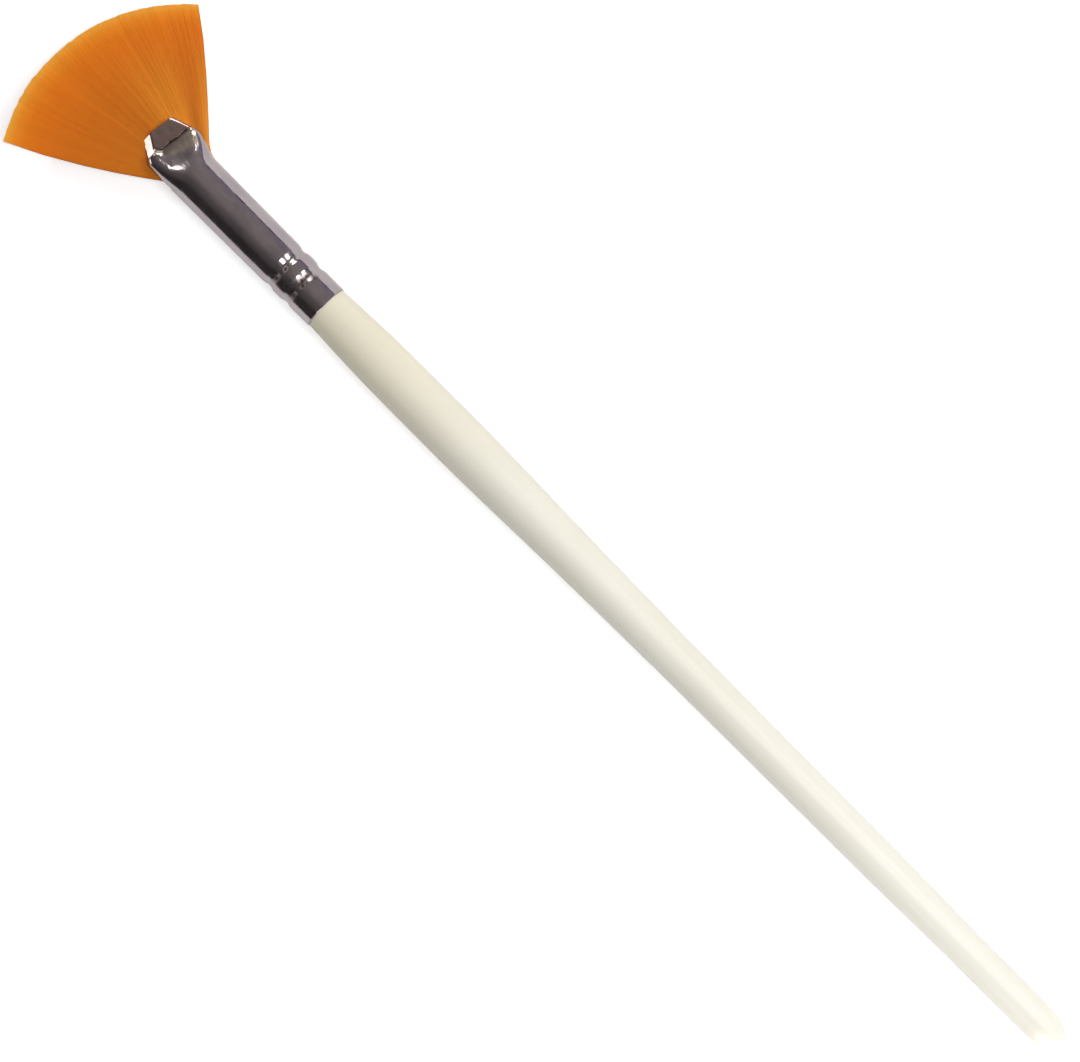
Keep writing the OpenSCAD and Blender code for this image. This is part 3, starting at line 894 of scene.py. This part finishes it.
dress(build_handle(), lacquer(), "handle")
dress(build_ferrule(), plated_metal(), "ferrule")
orange = bristle()
for number in range(SHARES):
    start, end = [(number + k) * 2 / SHARES - 1 for k in (0, 1)]
    threads = build_bristles(f"bristles_{number + 1}", SEED + number, BRISTLES // SHARES, start, end)
    dress(threads, orange, "bristle_fan")
resin_node = bpy.data.objects.get("root_resin")
if resin_node:
    resin_node.data.materials.clear()
    resin_node.data.materials.append(set_resin())

# Floor, world, lamps and camera

FLOOR_HALF = 3.0
floor_mesh = bpy.data.meshes.new("floor")
corners = [(FLOOR_HALF * x, FLOOR_HALF * y, 0) for x, y in ((-1, -1), (1, -1), (1, 1), (-1, 1))]
floor_mesh.from_pydata(corners, [], [(0, 1, 2, 3)])
floor = link_object("floor", floor_mesh)
floor.data.materials.append(pale_floor())

# The room's light from below to overhead, as (place, level), and its colour for a level of 1
SKY_TOWARDS, SKY_COLOUR = (-0.1, 0.57, 0.815), (1.05, 0.96, 0.97)
SKY_LEVELS = (
    (0.0, 0.035), (0.1, 0.055), (0.34, 0.09), (0.55, 0.115), (0.72, 0.16), (0.86, 0.215), (1.0, 0.24),
)

# The lavender's place to the +Y side, the heights between which the horizon turns white, and the dark strip's
# upper and lower border and its place to the +Y side
LAVENDER_SIDE, HORIZON = (0.8, 0.95), (0.08, 0.0)
STRIP_UPPER, STRIP_LOWER, STRIP_SIDE = (0.15, 0.1), (0.0, 0.04), (0.5, 0.8)


def make_world():
    """A dim room: brown grey overhead and to the +Y side, darker to the other, and white at the horizon. Low at
    the +Y side it is lavender with a dark strip under it."""
    m = Nodes(bpy.data.worlds.new("room"), "ShaderNodeOutputWorld")
    direction = m.add("ShaderNodeTexCoord").outputs["Generated"]

    def towards(axis):
        inputs = {0: direction, 1: AS_LAID @ Vector(axis)}
        return m.add("ShaderNodeVectorMath", inputs, operation="DOT_PRODUCT").outputs["Value"]

    stops = [(at, (*(level * c for c in SKY_COLOUR), 1)) for at, level in SKY_LEVELS]
    colour = m.ramp(towards(SKY_TOWARDS), stops)
    sideways = towards((0, 1, 0))
    colour = m.mix(m.between(sideways, *LAVENDER_SIDE), colour, (0.27, 0.24, 0.37, 1))
    height = m.add("ShaderNodeSeparateXYZ", {0: direction}).outputs["Z"]
    colour = m.mix(m.between(height, *HORIZON), colour, (1, 1, 1, 1))
    strip = m.times(m.between(height, *STRIP_UPPER), m.between(height, *STRIP_LOWER))
    strip = m.times(strip, m.between(sideways, *STRIP_SIDE))
    colour = m.mix(strip, colour, (0.04, 0.036, 0.045, 1))
    return m.finish(m.add("ShaderNodeBackground", {"Color": colour}).outputs[0])


bpy.context.scene.world = make_world()


def lamp(name, direction, distance, size, watts, target):
    """A soft lamp, long along the brush, that faces the target. Its direction is given in the fan's plane."""
    light = bpy.data.lights.new(name, "AREA")
    light.shape = "RECTANGLE"
    light.size, light.size_y = size
    light.energy = watts
    back = AS_LAID @ Vector(direction).normalized()
    across = back.cross((1, 0, 0)).normalized()
    ob = link_object(name, light)
    ob.matrix_world = Matrix((across.cross(back), across, back)).transposed().to_4x4()
    ob.location = Vector(target) + back * distance


# name, direction, distance, size, watts, target
MIDDLE, HEAD, TAIL = (0.02, 0, 0), (-0.085, 0.0, 0.005), (0.1, 0.0, 0.0)
for lamp_row in (
    ("key_high", (0.32, 0.14, 0.94), 0.8, (0.42, 0.16), 2.42, MIDDLE),
    ("key_side", (0.3, 0.62, 0.72), 0.8, (0.42, 0.16), 2.2, MIDDLE),
    ("tail_soft", (0.7, -0.68, 0.2), 0.16, (0.1, 0.1), 0.22, TAIL),
    ("head_right", (-0.6, 0.5, 0.62), 0.7, (0.06, 0.06), 0.15, HEAD),
    ("head_left", (-0.655, -0.1, 0.75), 0.7, (0.09, 0.09), 0.35, HEAD),
    ("low_right", (-0.57, 0.64, 0.52), 0.6, (0.2, 0.16), 0.35, HEAD),
    ("low_left", (-0.62, -0.77, 0.17), 0.6, (0.22, 0.18), 0.3, HEAD),
):
    lamp(*lamp_row)

# The camera looks down square to the fan, turned as the photograph shows the brush
IMAGE_W, FOCAL_PX, PX_MM, SENSOR_W = 1080, 2260, 0.155, 36
VIEW_CENTRE, DOWN_RIGHT = (47.9, -1.0), math.radians(45.06)
camera_data = bpy.data.cameras.new("camera")
camera_data.sensor_width = SENSOR_W
camera_data.lens = FOCAL_PX * SENSOR_W / IMAGE_W
camera = link_object("camera", camera_data)
right = Vector((math.cos(DOWN_RIGHT), math.sin(DOWN_RIGHT), 0))
up = Vector((-math.sin(DOWN_RIGHT), math.cos(DOWN_RIGHT), 0))
place = HOME + AS_LAID @ Vector((*VIEW_CENTRE, FOCAL_PX * PX_MM)) * MM
turned = AS_LAID @ Matrix((right, up, Vector((0, 0, 1)))).transposed()
camera.matrix_world = Matrix.Translation(place) @ turned.to_4x4()
bpy.context.scene.camera = camera

view = bpy.context.scene.view_settings
view.view_transform = "Standard"

bpy.context.view_layer.update()
